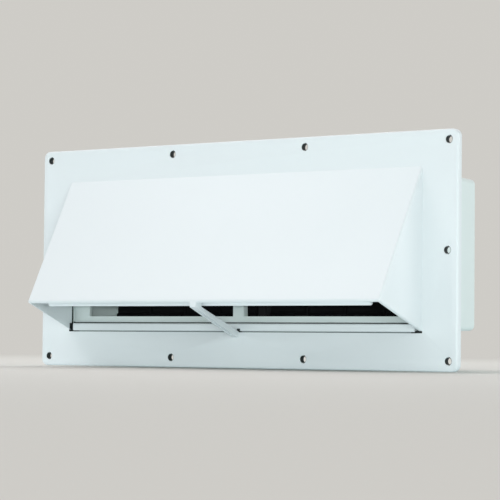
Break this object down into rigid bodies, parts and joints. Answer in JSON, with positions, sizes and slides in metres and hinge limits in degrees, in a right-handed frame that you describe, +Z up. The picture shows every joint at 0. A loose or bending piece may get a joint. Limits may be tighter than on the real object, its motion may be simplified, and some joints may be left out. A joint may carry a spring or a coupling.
{
  "type": "exterior wall vent cover",
  "caption": "Plastic wall plate with a sloped rain hood, a rectangular duct collar behind it and black dampers that swing outwards.",
  "frame": {"origin": "centre of the four corner screw holes, in the plane of the wall that the plate's back rests on", "axes": "+X to the right seen from outside, +Y into the wall along the duct, +Z up"},
  "size_m": [0.356, 0.1464, 0.16],
  "materials": {
    "white_plastic": "smooth moulded white, satin gloss",
    "collar_plastic": "plain moulded off-white",
    "black_plastic": "matt moulded black",
    "steel": "drawn steel rod",
    "cap_steel": "pressed spring steel",
    "foam": "closed-cell foam strip"
  },
  "bodies": {
    "frame": {"cover": "white_plastic", "duct_collar": "collar_plastic", "hinge_rod": "steel", "rod_caps": "cap_steel", "seal_left": "foam", "seal_right": "foam"},
    "left_damper": {"damper_left": "black_plastic"},
    "right_damper": {"damper_right": "black_plastic"}
  },
  "joints": [
    {"name": "left_damper_hinge", "type": "hinge", "parent": "frame", "child": "left_damper", "pos_m": [-0.06975, 0.0335, 0.04851], "axis": [-1, 0, 0], "range_deg": [0, 47]},
    {"name": "right_damper_hinge", "type": "hinge", "parent": "frame", "child": "right_damper", "pos_m": [0.06975, 0.0335, 0.04851], "axis": [-1, 0, 0], "range_deg": [0, 47]}
  ]
}
